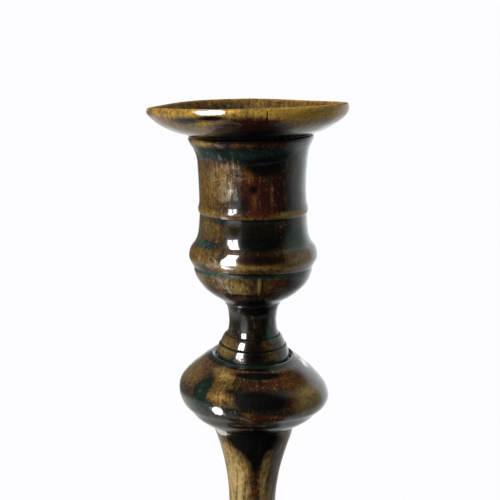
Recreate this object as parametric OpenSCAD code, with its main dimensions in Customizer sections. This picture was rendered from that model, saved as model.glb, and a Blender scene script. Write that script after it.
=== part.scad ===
// Push-up candlestick in cast and turned brass, about 190 mm tall.
// Millimetres, +Z up, origin on the table under the middle of the foot.

/* [Drip pan] */
// Outer radius of the drip pan's rim
pan_r = 25.2; // [24.4:0.1:27]
// Outer radius of the tube under the pan that drops into the socket
collar_r = 11.9; // [11.8:0.05:11.9]
// Depth that the tube reaches below the pan's seat
collar_reach = 9.5; // [6:0.5:9.5]
// Gap all round between that tube and the mouth of the socket
collar_gap = 0.1; // [0.05:0.01:0.1]

/* [Socket] */
// Radius of the candle bore
candle_r = 11.1; // [10.9:0.05:11.2]
// Height of the bottom of the candle bore
bore_floor_z = 147.5; // [147.5:0.5:150]

/* [Stem] */
// Radius of the threaded spigots that hold the knop
knop_spigot_r = 4.5; // [4:0.1:5]
// Radius of the threaded spigot that holds the socket
socket_spigot_r = 4; // [3.5:0.1:4.5]
// Radius of the stem's long spigot through the collar and the foot
foot_spigot_r = 5; // [4.6:0.1:5.4]
// Radius of the cored hole down the stem
core_r = 2.6; // [2.2:0.1:2.8]
// Pitch of the screw thread under the foot
thread_pitch = 1.2; // [1:0.1:1.5]
// Depth of that thread
thread_depth = 0.45; // [0.3:0.05:0.5]

/* [Foot] */
// Outer radius of the foot
foot_r = 53; // [50:0.5:58]
// Width across the flats of the square nut
nut_w = 14; // [13:0.5:16]
// Height of the nut
nut_h = 5; // [4:0.5:5]
// Outer radius of the washer
washer_r = 8.8; // [7.5:0.1:9]
// Thickness of the washer
washer_t = 1.2; // [0.8:0.1:1.2]

/* [Ejector] */
// Radius of the push rod
rod_r = 1.6; // [1.4:0.05:1.6]
// Gap all round between the rod and its guide bush
rod_gap = 0.1; // [0.05:0.01:0.1]
// Outer radius of the guide bush
bush_r = 3.2; // [3:0.1:3.4]
// Length of the guide bush
bush_l = 10; // [6:0.5:14]
// Radius of the plate under the candle
plate_r = 10.3; // [9.8:0.1:10.3]
// Thickness of that plate
plate_t = 1.6; // [1.2:0.1:1.6]
// Radius of the push button under the foot
button_r = 7.6; // [6.5:0.1:9]
// Radius of the pin through the button
pin_r = 0.7; // [0.5:0.05:0.8]

/* [Hidden] */

// heights of the faces where one piece meets the next
rim_z = 190.5;
seat_z = 183.3;      // pan on the socket's lip
neck_z = 141;        // socket on the ringed neck
knop_top_z = 127.4;  // ringed neck on the knop
knop_mid_z = 118;    // end of the stem's upper spigot
knop_low_z = 110;    // knop on the stem
stem_low_z = 57;     // stem on the lower collar
foot_top_z = 47;     // lower collar on the foot
boss_z = 36;         // underside of the foot's boss
stud_end_z = 28.8;   // end of the stem's thread
plate_z = bore_floor_z - plate_t;
mouth_z = seat_z - collar_reach - 0.3;
button_lo = 1;
button_hi = 5.4;
bore = candle_r;
spigot_hole = 2.1;

// a smooth curve through hand-placed points, n steps between each two
function mix4(a, b, c, d, t) =
  0.5 * (2 * b + (c - a) * t + (2 * a - 5 * b + 4 * c - d) * t * t
         + (3 * b - a - 3 * c + d) * t * t * t);
function smooth(p, n = 3) = let (m = len(p) - 1) concat(
  [for (i = [0:m - 1]) for (k = [0:n - 1])
     mix4(p[max(i - 1, 0)], p[i], p[i + 1], p[min(i + 2, m)], k / n)],
  [p[m]]);
// a quarter or half round moulding in the profile, centre c, radius r
function round_(c, r, a0, a1, n = 6) =
  [for (k = [0:n]) let (a = a0 + (a1 - a0) * k / n) c + r * [cos(a), sin(a)]];

module turned(p) rotate_extrude($fn = 128) polygon(p);

// Hollow domed foot: cavetto, bead, ovolo, cyma and a rounded rim.
// A wider or narrower foot spreads outside radius 20 only.
function spread(p) = [for (q = p) [q[0] + (foot_r - 53) * max(0, q[0] - 20) / 33, q[1]]];
foot_out = spread(concat(
  smooth([[9.8, 47], [10.1, 45.2], [11.3, 42.4], [13.8, 39.5], [17.6, 37], [22, 35.3], [26.4, 34.5]]),
  round_([28, 33], 1.5, 90, -60),
  [[29.4, 31.5]],
  smooth([[30.4, 31.3], [34.4, 29.4], [37.8, 25.8], [40, 21], [40.9, 16.6], [41.1, 14.2]]),
  [[41.6, 13.2]],
  smooth([[42.6, 12.9], [45, 12.3], [47.6, 10.8], [49.4, 8.6], [50.4, 6.4]]),
  [[51, 5.9], [51.6, 5.6]],
  round_([50.2, 2.8], 2.8, 60, -60),
  [[51, 0]]));
foot_in = spread(smooth([[48.6, 0], [48.2, 3], [46.9, 6.8], [44.2, 9.4], [40.8, 10.8], [39.1, 12.6],
  [38.7, 16.6], [37.8, 20.2], [35.6, 24], [32.2, 27.2], [28.6, 29.4], [25.4, 32], [21.4, 32.9],
  [17, 34.3], [13.6, 36.4], [11.4, 38.2], [9.4, 38.6]]));
module foot() color([0.36, 0.28, 0.12])
  turned(concat(
    foot_out, foot_in,
    [[9.2, 38.4], [9.2, boss_z], [foot_spigot_r, boss_z], [foot_spigot_r, foot_top_z]]));

// Iron washer under the foot's boss.
module foot_washer() color([0.25, 0.22, 0.2])
  turned([[foot_spigot_r + 0.1, boss_z - washer_t], [washer_r - 0.2, boss_z - washer_t],
          [washer_r, boss_z - washer_t + 0.2], [washer_r, boss_z - 0.2],
          [washer_r - 0.2, boss_z], [foot_spigot_r + 0.1, boss_z]]);

// Square nut that draws the stem down on to the foot, its corners turned off.
module foot_nut() color([0.5, 0.4, 0.18])
  intersection() {
    translate([0, 0, boss_z - washer_t - nut_h / 2]) difference() {
      cube([nut_w, nut_w, nut_h], center = true);
      cylinder(r = foot_spigot_r, h = nut_h + 2, center = true, $fn = 96);
    }
    turned([[0, boss_z - washer_t - nut_h], [nut_w * 0.56, boss_z - washer_t - nut_h],
            [nut_w * 0.66, boss_z - washer_t - nut_h + 1], [nut_w * 0.66, boss_z - washer_t],
            [0, boss_z - washer_t]]);
  }

// Ring between two small beads, at the bottom of the stem.
module lower_collar() color([0.34, 0.26, 0.12])
  turned(concat(
    [[foot_spigot_r, stem_low_z], [8.6, stem_low_z]],
    round_([8.8, 56.1], 0.9, 90, -90),
    [[8.6, 54.9]],
    round_([8.8, 51.8], 3.1, 80, -80, 12),
    [[8.9, 48.6]],
    round_([9.4, 47.8], 0.8, 90, -90),
    [[foot_spigot_r, foot_top_z]]));

// Tapered stem, flared under the knop, with a spigot at each end.
stem_out = smooth([[10.25, 110], [10, 109.2], [9.5, 107.4], [8.85, 105.6], [8.15, 103.4], [7.45, 100.8],
  [6.9, 98.4], [6.45, 95.4], [6.1, 92], [5.8, 87], [5.65, 81], [5.75, 75], [6.1, 69],
  [6.7, 63.6], [7.5, 59.6], [8.2, 57]]);
thread_n = floor((boss_z - 1 - stud_end_z) / thread_pitch);
module stem() color([0.5, 0.4, 0.2])
  turned(concat(
    [[core_r, knop_mid_z], [knop_spigot_r, knop_mid_z], [knop_spigot_r, knop_low_z]],
    stem_out,
    [[foot_spigot_r, stem_low_z], [foot_spigot_r, stud_end_z + thread_n * thread_pitch + thread_pitch / 2]],
    [for (i = [thread_n - 1:-1:0]) for (s = [1, 0])
      [foot_spigot_r - (s == 1 ? thread_depth : 0), stud_end_z + (i + (s == 1 ? 1 : 0.5)) * thread_pitch]],
    [[foot_spigot_r - thread_depth, stud_end_z], [bush_r, stud_end_z],
     [bush_r, stud_end_z + bush_l], [core_r, stud_end_z + bush_l]]));

// Bush pressed into the end of the stem, which guides the rod.
module guide_bush() color([0.55, 0.45, 0.2])
  turned([[rod_r + rod_gap, stud_end_z], [bush_r, stud_end_z],
          [bush_r, stud_end_z + bush_l], [rod_r + rod_gap, stud_end_z + bush_l]]);

// Bulbous knop with a raised edge round its top, in which the neck stands.
knop_out = smooth([[9.1, 127.4], [9.5, 127.85], [9.9, 128.15], [10.3, 128.2], [11, 127.65], [12.3, 126.75],
  [13.9, 125.35], [15.7, 124], [17.6, 122], [18.5, 120.5], [18.85, 118.6], [18.55, 116.9],
  [17.65, 115.2], [16.2, 113.8], [14.5, 112.1], [12.9, 111], [11.6, 110.25], [10.3, 110]]);
module knop() color([0.3, 0.24, 0.1])
  turned(concat([[knop_spigot_r, knop_top_z]], knop_out, [[knop_spigot_r, knop_low_z]]));

// Waisted neck above a stack of three rings.
neck_out = concat(
  smooth([[6.7, 141], [6.4, 140.2], [6.15, 139], [6, 137.6], [5.95, 136.4], [6.05, 135.4], [6.25, 134.6],
    [6.55, 133.95], [6.8, 133.5]]),
  smooth([[6.9, 133.4], [7.2, 133.15], [7.45, 132.8], [7.7, 132.3], [7.9, 131.75], [8.05, 131.25], [8.1, 131]]),
  smooth([[8.2, 130.9], [8.45, 130.7], [8.65, 130.3], [8.85, 129.7], [9, 129.1], [9.1, 128.4], [9.05, 127.8],
    [8.9, 127.4]]));
module ringed_neck() color([0.24, 0.19, 0.12])
  turned(concat(
    [[spigot_hole, neck_z + 4.5], [socket_spigot_r, neck_z + 4.5], [socket_spigot_r, neck_z]],
    neck_out,
    [[knop_spigot_r, knop_top_z], [knop_spigot_r, knop_mid_z + 0.6], [spigot_hole, knop_mid_z + 0.6]]));

// Vase-shaped candle socket: lip, waist, ring, bulge, groove and bowl.
socket_out = concat(
  smooth([[15.2, 183.3], [15.6, 183], [15.6, 182.5], [15.1, 181.5], [14.5, 180.4], [14.1, 179.2],
    [13.8, 177.5], [13.6, 174.5], [13.4, 170], [13.4, 167.4], [13.5, 166.4], [13.75, 165.6],
    [13.8, 165.1], [13.7, 164.5], [13.5, 164.1]]),
  smooth([[13.4, 163.7], [13.45, 161.5], [13.6, 160], [13.95, 158.6], [14.55, 157.3], [15.3, 156.1],
    [15.95, 154.8], [16.1, 153.6], [15.85, 152.5], [15.3, 151.5], [15, 151]]),
  smooth([[14.65, 150.6], [14.65, 149.5], [14.3, 148.3], [13.7, 147.1], [12.8, 145.9], [11.4, 144.6],
    [9.7, 143.45], [8.1, 142.5], [7.1, 141.7], [6.8, 141]]));
module candle_socket() color([0.27, 0.2, 0.1])
  turned(concat(
    [[collar_r + collar_gap, mouth_z], [collar_r + collar_gap, seat_z]],
    socket_out,
    [[socket_spigot_r, neck_z], [socket_spigot_r, plate_z], [plate_r + 0.3, plate_z],
     [plate_r + 0.3, bore_floor_z], [bore, bore_floor_z], [bore, mouth_z]]));

// Shallow dished pan that catches the wax.
module drip_pan() color([0.42, 0.34, 0.14])
  turned(concat(
    [[collar_r, seat_z], [15.2, seat_z]],
    smooth([[16.2, 183.7], [17.7, 184.15], [19.4, 184.8], [21.4, 185.8], [pan_r - 2.3, 186.75],
      [pan_r - 1.1, 187.8], [pan_r - 0.35, 188.6], [pan_r - 0.05, 189.15], [pan_r, 189.6],
      [pan_r - 0.15, 190.05], [pan_r - 0.45, 190.4], [pan_r - 0.8, rim_z]]),
    smooth([[pan_r - 1.2, 190.3], [pan_r - 1.8, 189.5], [22.1, 188.1], [20.1, 186.8], [17.8, 185.85],
      [15.8, 185.25], [13.7, 185]]),
    [[collar_r, 185]]));

// Tube with a turned-over edge, brazed in the pan, which sits in the socket.
module pan_collar() color([0.45, 0.36, 0.15])
  turned([[bore, seat_z - collar_reach], [collar_r, seat_z - collar_reach], [collar_r, 185],
          [13.2, 185], [13.2, 185.4], [13, 185.6], [bore + 0.3, 185.6], [bore, 185.3]]);

// Iron rod through the whole stem, riveted over in the plate.
module push_rod() color([0.2, 0.17, 0.15])
  difference() {
    turned([[0, button_lo + 0.9], [rod_r, button_lo + 0.9], [rod_r, bore_floor_z - 0.8],
            [rod_r + 0.7, bore_floor_z], [0, bore_floor_z]]);
    translate([0, 0, 3.2]) rotate([0, 90, 0]) cylinder(r = pin_r, h = 3 * button_r, center = true, $fn = 48);
  }

// Round plate that lifts the candle end out of the socket.
module ejector_plate() color([0.5, 0.4, 0.2])
  turned([[rod_r, plate_z], [plate_r - 0.3, plate_z], [plate_r, plate_z + 0.3],
          [plate_r, bore_floor_z - 0.2], [plate_r - 0.2, bore_floor_z],
          [rod_r + 0.7, bore_floor_z], [rod_r, bore_floor_z - 0.8]]);

// Button under the foot, hollowed below for a fingertip.
module push_button() color([0.5, 0.4, 0.2])
  difference() {
    turned(concat(
      [[rod_r, button_hi], [button_r - 3, button_hi]],
      smooth([[button_r - 2.6, button_hi - 0.1], [button_r - 0.9, 4.7], [button_r, 3.2], [button_r - 0.5, 1.7], [button_r - 1.6, button_lo]]),
      smooth([[button_r - 2.2, button_lo], [button_r - 3.6, button_lo + 0.5], [rod_r, button_lo + 0.9]])));
    translate([0, 0, 3.2]) rotate([0, 90, 0]) cylinder(r = pin_r, h = 3 * button_r, center = true, $fn = 48);
  }

// Pin through the button and the rod.
module button_pin() color([0.3, 0.26, 0.22])
  translate([0, 0, 3.2]) rotate([0, 90, 0]) cylinder(r = pin_r, h = 2 * button_r - 0.6, center = true, $fn = 48);

foot();
foot_washer();
foot_nut();
lower_collar();
stem();
guide_bush();
knop();
ringed_neck();
candle_socket();
drip_pan();
pan_collar();
push_rod();
ejector_plate();
push_button();
button_pin();
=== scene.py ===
"""Old push-up candlestick in cast and turned brass: its looks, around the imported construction.
Tables are in millimetres and degrees, the scene is in metres. Azimuth 0 faces -Y, positive towards +X."""
import math

import bpy
import numpy as np
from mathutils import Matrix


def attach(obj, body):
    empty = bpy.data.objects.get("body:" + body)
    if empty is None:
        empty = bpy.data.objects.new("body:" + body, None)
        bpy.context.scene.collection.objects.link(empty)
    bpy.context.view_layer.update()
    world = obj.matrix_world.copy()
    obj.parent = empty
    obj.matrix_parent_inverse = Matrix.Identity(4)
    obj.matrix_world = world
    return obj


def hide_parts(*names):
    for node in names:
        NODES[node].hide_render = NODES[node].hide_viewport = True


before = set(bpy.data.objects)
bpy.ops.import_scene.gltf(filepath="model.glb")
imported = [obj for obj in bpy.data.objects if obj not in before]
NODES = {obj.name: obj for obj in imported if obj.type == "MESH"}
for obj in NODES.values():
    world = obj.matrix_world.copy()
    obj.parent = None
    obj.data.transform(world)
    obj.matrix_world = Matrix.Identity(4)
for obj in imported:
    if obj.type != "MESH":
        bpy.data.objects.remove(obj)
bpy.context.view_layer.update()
scene = bpy.context.scene
MM = 0.001
rad = math.radians


# ---------------------------------------------------------------- camera

def make_camera():
    data = bpy.data.cameras.new("camera")
    data.sensor_width = 36.0
    data.lens = 136.8
    data.clip_start, data.clip_end = 0.01, 20.0
    cam = bpy.data.objects.new("camera", data)
    scene.collection.objects.link(cam)
    pitch, dist = rad(9.8), 475.0
    cam.location = (-0.7 * MM, -dist * math.cos(pitch) * MM, (154.5 + dist * math.sin(pitch)) * MM)
    cam.rotation_euler = (rad(90) - pitch, 0, 0)
    scene.camera = cam
    return cam


make_camera()


# ---------------------------------------------------------------- profile lines

def curve(points, step=0.2):
    """Smooth line through given (r, z) points, at even small steps."""
    p = np.array(points, float)
    e = np.vstack([2 * p[0] - p[1], p, 2 * p[-1] - p[-2]])
    out = []
    for i in range(1, len(e) - 2):
        a, b, c, d = e[i - 1], e[i], e[i + 1], e[i + 2]
        n = max(1, int(math.ceil(np.linalg.norm(c - b) / step)))
        for k in range(n):
            t = k / n
            out.append(0.5 * (2 * b + (c - a) * t + (2 * a - 5 * b + 4 * c - d) * t * t
                              + (3 * b - a - 3 * c + d) * t ** 3))
    out.append(p[-1])
    return np.array(out)


def straight(points, step=1.5):
    p = np.array(points, float)
    out = []
    for b, c in zip(p[:-1], p[1:]):
        n = max(1, int(math.ceil(np.linalg.norm(c - b) / step)))
        out += [b + (c - b) * k / n for k in range(n)]
    out.append(p[-1])
    return np.array(out)


def arc(c, r, a0, a1, step=0.2):
    n = max(4, int(math.ceil(abs(rad(a1 - a0)) * r / step)))
    t = np.radians(np.linspace(a0, a1, n + 1))
    return np.stack([c[0] + r * np.cos(t), c[1] + r * np.sin(t)], 1)


def join(*parts):
    p = np.vstack(parts)
    keep = np.ones(len(p), bool)
    keep[1:] = np.linalg.norm(np.diff(p, axis=0), axis=1) > 0.02
    if np.linalg.norm(p[0] - p[-1]) < 0.02:
        keep[-1] = False
    return p[keep]


# ---------------------------------------------------------------- smooth random fields

def sstep(x, a, b):
    t = np.clip((np.asarray(x, float) - a) / (b - a), 0, 1)
    return t * t * (3 - 2 * t)


def field(seed, size, terms=28):
    """A smooth random function of points in mm, about -1 to 1, with features of about that size."""
    rng = np.random.default_rng(seed)
    d = rng.normal(size=(terms, 3))
    d /= np.linalg.norm(d, axis=1)[:, None]
    k = d * (math.pi / size) * rng.uniform(0.55, 1.35, terms)[:, None]
    ph = rng.uniform(0, 2 * math.pi, terms)
    amp = rng.uniform(0.6, 1.0, terms)
    amp /= math.sqrt((amp ** 2).sum() / 2)

    def f(p):
        out = np.zeros(len(p))
        for kk, q, a in zip(k, ph, amp):
            out += a * np.cos(p @ kk + q)
        return out * 0.6
    return f


def azimuths(step=1.0, fine=()):
    """Azimuths all round, closer together near the fine places [(centre, half width, step)]."""
    a, out = -180.0, []
    while a < 180.0 - 1e-6:
        out.append(a)
        s = step
        for c, w, f in fine:
            if abs(a + f / 2 - c) < w:
                s = min(s, f)
        a += s
    return np.radians(np.array(out))


# ---------------------------------------------------------------- how the old sections lean

# how far the rim of the pan is bent up, by azimuth
RIM = [(-180, 0.22), (-147, 0.15), (-119, -0.41), (-95, -0.38), (-60, 0.38), (-36, 0.70), (0, 0.86),
       (40, 0.92), (71, 0.94), (90, 0.50), (101, 0.20), (130, -0.25), (161, -0.10)]


def rim_bend(az):
    grid = np.arange(-180, 180, 4.0)
    a = [q[0] for q in RIM] + [180]
    v = [q[1] for q in RIM] + [RIM[0][1]]
    y = np.interp(grid, a, v)
    for _ in range(10):
        y = 0.5 * y + 0.25 * (np.roll(y, 1) + np.roll(y, -1))
    return np.interp(az, np.append(grid, 180), np.append(y, y[0]))


TILT = 6.5    # the ring stack and the knop's top lean towards the front


def lean(x, y, z, r, kind):
    """Moves points as the worn and repaired sections lean; upright bores only slide along themselves."""
    x, y, z = x.copy(), y.copy(), z.copy()
    z0, x0 = z.copy(), x.copy()
    az = np.degrees(np.arctan2(x0, -y))
    if kind == "pan":
        z += math.tan(rad(0.75)) * x0 - math.tan(rad(1.6)) * y + 0.22
        z += rim_bend(az) * sstep(z0, 187.4, 190.4)
        x += -0.40 * sstep(r, 12.2, 13.8) - 0.71 * sstep(r, 14.0, 22.0)
        x += -0.30 * np.exp(-((az - 88) / 30) ** 2) * sstep(z0, 187.6, 189.4)
    if kind == "socket":
        w = sstep(z0, 176, 183)
        z += w * (math.tan(rad(1.2)) * x0 - math.tan(rad(0.8)) * y)
        x += sstep(r, 12.2, 13.0) * (0.07 - 0.20 * sstep(z0, 164, 172) - 0.30 * sstep(z0, 176.5, 183.0))
        z += -math.tan(rad(0.5)) * x0 * (1 - sstep(z0, 146, 151)) * sstep(z0, 141, 143.5) * sstep(r, 6, 9)
    if kind == "lower":
        t = np.interp(z0, [57, 90, 104, 110, 114, 120, 127.4, 130, 134, 138], [0, 0.2, 1.0, 0.3, 0.3, 3.4, 2.5, 1.6, 0.9, 0])
        w = sstep(r, 5.0, 7.5)
        z -= w * np.tan(np.radians(t)) * x0
        f = sstep(z0, 119.5, 126.5) * (1 - sstep(z0, 134.2, 138.0))
        z += w * f * math.tan(rad(TILT)) * y
        x += np.interp(z0, [57, 90.7, 107, 110, 114, 118, 124, 131], [0, -0.05, 0.3, 0.2, 0.5, 0.32, 0.1, 0.0]) * sstep(r, 4.8, 5.6)
    return x, y, z


# ---------------------------------------------------------------- turned pieces

def patch_value(patches, kind, az, z, inner):
    """Sum of the soft patches of one kind; a kind with "+" lies on the inner side of a dished piece."""
    v = np.zeros(len(az))
    for k, a0, z0, w, h, s, *soft in patches:
        if k.rstrip("+") != kind:
            continue
        d = (az - a0 + 180) % 360 - 180
        q = (d / w) ** 2 + ((z - z0) / h) ** 2
        g = np.exp(-q ** (soft[0] if soft else 1.5))
        v = v + s * g * (inner if k.endswith("+") else 1 - inner)
    return v


def all_round(patches, seed, spread=None):
    """Adds like patches round the back, where none are listed."""
    rng = np.random.default_rng(seed)
    out = list(patches)
    for p in patches:
        k, a0, z0, w, h, s, *soft = p
        if w >= 60:
            continue
        for turn in (150, 210):
            a = a0 * rng.uniform(0.35, 0.6) + turn + rng.uniform(-22, 22)
            a = (a + 180) % 360 - 180
            if abs(a) < 88:
                continue
            out.append((k, a, z0 + rng.uniform(-0.18, 0.18) * h, min(w * rng.uniform(0.9, 1.5), 40),
                        h * rng.uniform(0.8, 1.3), s * rng.uniform(0.5, 1.05), *soft))
    return out


def turned(name, node, body, profile, kind, mat, patches=(), cracks=(), seed=1,
           step=1.0, fine=(), wave=0.05, dings=0.016, base=None, skin=None, edge=1.0, inner_after=None):
    """A lathe mesh from a closed profile line (r, z), with the wear, waviness and leaning of an old turned piece, and
    its colour patches, some of which are painted highlights, painted sheen and painted dark reflections.
    """
    P = np.asarray(profile, float)
    n = len(P)
    az = azimuths(step, fine)
    m = len(az)
    # arc length along the profile, its normal, and how convex it is over about 0.6 mm
    seg = np.linalg.norm(np.roll(P, -1, 0) - P, axis=1)
    s = np.concatenate([[0], np.cumsum(seg)[:-1]])
    t = np.roll(P, -1, 0) - np.roll(P, 1, 0)
    t /= np.linalg.norm(t, axis=1)[:, None]
    area = 0.5 * np.sum(P[:, 0] * np.roll(P[:, 1], -1) - np.roll(P[:, 0], -1) * P[:, 1])
    nr = np.stack([t[:, 1], -t[:, 0]], 1) * (1 if area > 0 else -1)
    total = seg.sum()
    ss = np.concatenate([s - total, s, s + total])
    P3 = np.vstack([P, P, P])
    conv = np.zeros(n)
    for reach, weight in ((0.35, 0.5), (0.8, 0.5)):
        fa = np.stack([np.interp(s + reach, ss, P3[:, i]) for i in (0, 1)], 1)
        fb = np.stack([np.interp(s - reach, ss, P3[:, i]) for i in (0, 1)], 1)
        conv += weight * np.sum((P - (fa + fb) / 2) * nr, 1) / (reach * 0.35)
    conv = np.clip(conv, -1, 1)

    A, R = np.meshgrid(az, P[:, 0], indexing="ij")
    Z = np.broadcast_to(P[:, 1], A.shape)
    NR = np.broadcast_to(nr[:, 0], A.shape)
    NZ = np.broadcast_to(nr[:, 1], A.shape)
    S = np.broadcast_to(s, A.shape)
    C = np.broadcast_to(conv, A.shape)
    A, R, Z, NR, NZ, S, C = (q.ravel() for q in (A, R, Z, NR, NZ, S, C))
    pts = np.stack([R * np.sin(A), -R * np.cos(A), Z], 1)
    azd = np.degrees(A)

    out = np.broadcast_to(skin(P), (m, n)).ravel() if skin is not None else np.ones(m * n)
    disp = wave * field(seed * 7 + 1, 11)(pts) + dings * field(seed * 7 + 2, 2.6, 40)(pts) \
        + 0.35 * dings * field(seed * 7 + 3, 1.1, 40)(pts)
    # sharp small knocks
    rng = np.random.default_rng(seed * 7 + 4)
    for _ in range(26):
        j = rng.integers(len(pts))
        d2 = ((pts - pts[j]) ** 2).sum(1)
        disp -= rng.uniform(0.02, 0.09) * np.exp(-d2 / rng.uniform(0.15, 1.1))
    disp = disp * out
    soot_and_dark_reflection = np.zeros(m * n)
    split = np.zeros(m * n)
    inner = np.zeros(m * n)
    if inner_after is not None:
        inner = np.broadcast_to((np.arange(n) > inner_after).astype(float), (m, n)).ravel()
    for a0, z0, z1, width, depth, dark in cracks:
        d = (azd - a0 + 180) % 360 - 180
        arcd = np.radians(d) * R
        w = sstep(Z, z0 - 0.2, z0 + 0.3) * (1 - sstep(Z, z1 - 0.3, z1 + 0.2)) * out * (1 - inner)
        disp -= depth * np.exp(-(arcd / width) ** 2) * w
        soot_and_dark_reflection = np.maximum(soot_and_dark_reflection, dark * np.exp(-(arcd / (1.15 * width)) ** 2) * w)
        split = np.maximum(split, np.exp(-(arcd / (1.6 * width)) ** 2) * w)
    r2 = R + NR * disp
    z2 = Z + NZ * disp
    x, y = r2 * np.sin(A), -r2 * np.cos(A)
    x, y, z = lean(x, y, z2, R, kind)
    co = np.stack([x, y, z], 1) * MM

    idx = np.arange(m * n).reshape(m, n)
    a = idx
    b = np.roll(idx, -1, 0)
    c = np.roll(b, -1, 1)
    d = np.roll(a, -1, 1)
    quads = np.stack([a, b, c, d], -1).reshape(-1, 4)
    if area > 0:
        quads = quads[:, ::-1]
    me = bpy.data.meshes.new(name)
    me.vertices.add(len(co))
    me.vertices.foreach_set("co", co.astype(np.float32).ravel())
    me.loops.add(len(quads) * 4)
    me.loops.foreach_set("vertex_index", quads.astype(np.int32).ravel())
    me.polygons.add(len(quads))
    me.polygons.foreach_set("loop_start", (np.arange(len(quads)) * 4).astype(np.int32))
    me.polygons.foreach_set("loop_total", np.full(len(quads), 4, np.int32))
    me.update(calc_edges=True)
    me.polygons.foreach_set("use_smooth", np.ones(len(quads), bool))
    me.set_sharp_from_angle(angle=rad(38))

    def put(nm, v):
        at = me.attributes.new(nm, "FLOAT", "POINT")
        at.data.foreach_set("value", np.asarray(v, np.float32))

    wear = field(seed * 7 + 5, 9)(pts)
    worn = np.clip(C, 0, 1) * edge * (0.65 + 0.35 * wear)
    hollow = np.clip(-C, 0, 1)
    lists = all_round(patches, seed * 7 + 6)
    b0 = dict(gold=0.22, teal=0.15, red=0.2, soot_and_dark_reflection=0.0)
    b0.update(base or {})
    mott = {k: field(seed * 7 + 8 + i, sz)(pts) for i, (k, sz) in enumerate((("gold", 9), ("teal", 10), ("red", 8)))}
    back = sstep(np.abs(azd), 70, 100)

    def spots(kind):
        return patch_value(lists, kind, azd, Z, inner)

    gold = b0["gold"] + 0.40 * worn - 0.22 * hollow + (0.05 + 0.15 * back) * mott["gold"] + spots("gold")
    teal = b0["teal"] + 0.40 * hollow + (0.06 + 0.2 * back) * mott["teal"] + spots("teal")
    red = b0["red"] + (0.06 + 0.2 * back) * mott["red"] + spots("red")
    verd = 0.5 * hollow + 0.12 * back * mott["teal"] + spots("verd")
    dull = spots("dull") + split
    # soot weight: dark cracks, hollows and grooves, plus the soot patches; the soot patches on the fronts of the pieces
    # are painted dark reflections of the dark room in front
    soot_and_dark_reflection = soot_and_dark_reflection + b0["soot_and_dark_reflection"] + 0.4 * sstep(hollow, 0.25, 0.9) + spots("soot_and_dark_reflection")
    gold = np.where(out > 0.5, gold, b0["gold"] * 0.6 + inner * spots("gold"))
    put("gold", np.clip(gold, 0, 1.3))
    put("teal", np.clip(teal, 0, 1.2))
    put("red", np.clip(red, 0, 1.2))
    put("verd", np.clip(verd, 0, 1.2))
    put("dull", np.clip(dull, 0, 1.0))
    put("soot_and_dark_reflection", np.clip(soot_and_dark_reflection, 0, 1.0))
    put("scratch", np.clip(spots("scratch"), 0, 1.0))
    put("shine", np.clip(spots("shine"), 0, 1.0))
    put("pale", np.clip(spots("pale"), 0, 1.0))
    ref = float(np.median(P[:, 0]))
    along = me.attributes.new("along", "FLOAT_VECTOR", "POINT")
    along.data.foreach_set("vector", np.stack([ref * np.sin(A), -ref * np.cos(A), S], 1).astype(np.float32).ravel())

    o = bpy.data.objects.new(name, me)
    scene.collection.objects.link(o)
    me.materials.append(mat)
    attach(o, body)
    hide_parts(node)
    return o


# ---------------------------------------------------------------- materials

class Graph:
    """A few short words for building a node material."""

    def __init__(self, name):
        self.mat = bpy.data.materials.new(name)
        self.mat.use_nodes = True
        self.t = self.mat.node_tree
        self.t.nodes.clear()
        self.out = self.t.nodes.new("ShaderNodeOutputMaterial")

    def link(self, a, b):
        self.t.links.new(a, b)

    def put(self, sock, v):
        if isinstance(v, bpy.types.NodeSocket):
            self.link(v, sock)
        elif v is not None:
            sock.default_value = v

    def math(self, op, a, b=None, c=None, clamp=False):
        n = self.t.nodes.new("ShaderNodeMath")
        n.operation, n.use_clamp = op, clamp
        for s, v in zip(n.inputs, (a, b, c)):
            self.put(s, v)
        return n.outputs[0]

    def vec(self, op, a, b=None, scale=None):
        n = self.t.nodes.new("ShaderNodeVectorMath")
        n.operation = op
        self.put(n.inputs[0], a)
        if b is not None:
            self.put(n.inputs[1], b)
        if scale is not None:
            self.put(n.inputs["Scale"], scale)
        return n.outputs[0]

    def attr(self, name, vector=False):
        n = self.t.nodes.new("ShaderNodeAttribute")
        n.attribute_name = name
        return n.outputs["Vector" if vector else "Fac"]

    def noise(self, v, scale, detail=3.0, rough=0.55, distort=0.0):
        n = self.t.nodes.new("ShaderNodeTexNoise")
        self.put(n.inputs["Vector"], v)
        n.inputs["Scale"].default_value = scale
        n.inputs["Detail"].default_value = detail
        n.inputs["Roughness"].default_value = rough
        n.inputs["Distortion"].default_value = distort
        return n.outputs["Fac"]

    def step(self, v, a, b, lo=0.0, hi=1.0):
        n = self.t.nodes.new("ShaderNodeMapRange")
        n.interpolation_type = "SMOOTHSTEP"
        self.put(n.inputs["Value"], v)
        n.inputs["From Min"].default_value = a
        n.inputs["From Max"].default_value = b
        n.inputs["To Min"].default_value = lo
        n.inputs["To Max"].default_value = hi
        return n.outputs["Result"]

    def mix(self, f, a, b):
        n = self.t.nodes.new("ShaderNodeMix")
        n.data_type = "RGBA"
        self.put(n.inputs[0], f)
        col = lambda v: (*v, 1.0) if isinstance(v, (tuple, list)) and len(v) == 3 else v
        self.put(n.inputs[6], col(a))
        self.put(n.inputs[7], col(b))
        return n.outputs[2]

    def lerp(self, f, a, b):
        n = self.t.nodes.new("ShaderNodeMix")
        n.data_type = "FLOAT"
        self.put(n.inputs[0], f)
        self.put(n.inputs[2], a)
        self.put(n.inputs[3], b)
        return n.outputs[0]

    def add(self, *v):
        out = v[0]
        for q in v[1:]:
            out = self.math("ADD", out, q)
        return out

    def mul(self, *v):
        out = v[0]
        for q in v[1:]:
            out = self.math("MULTIPLY", out, q)
        return out


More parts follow.
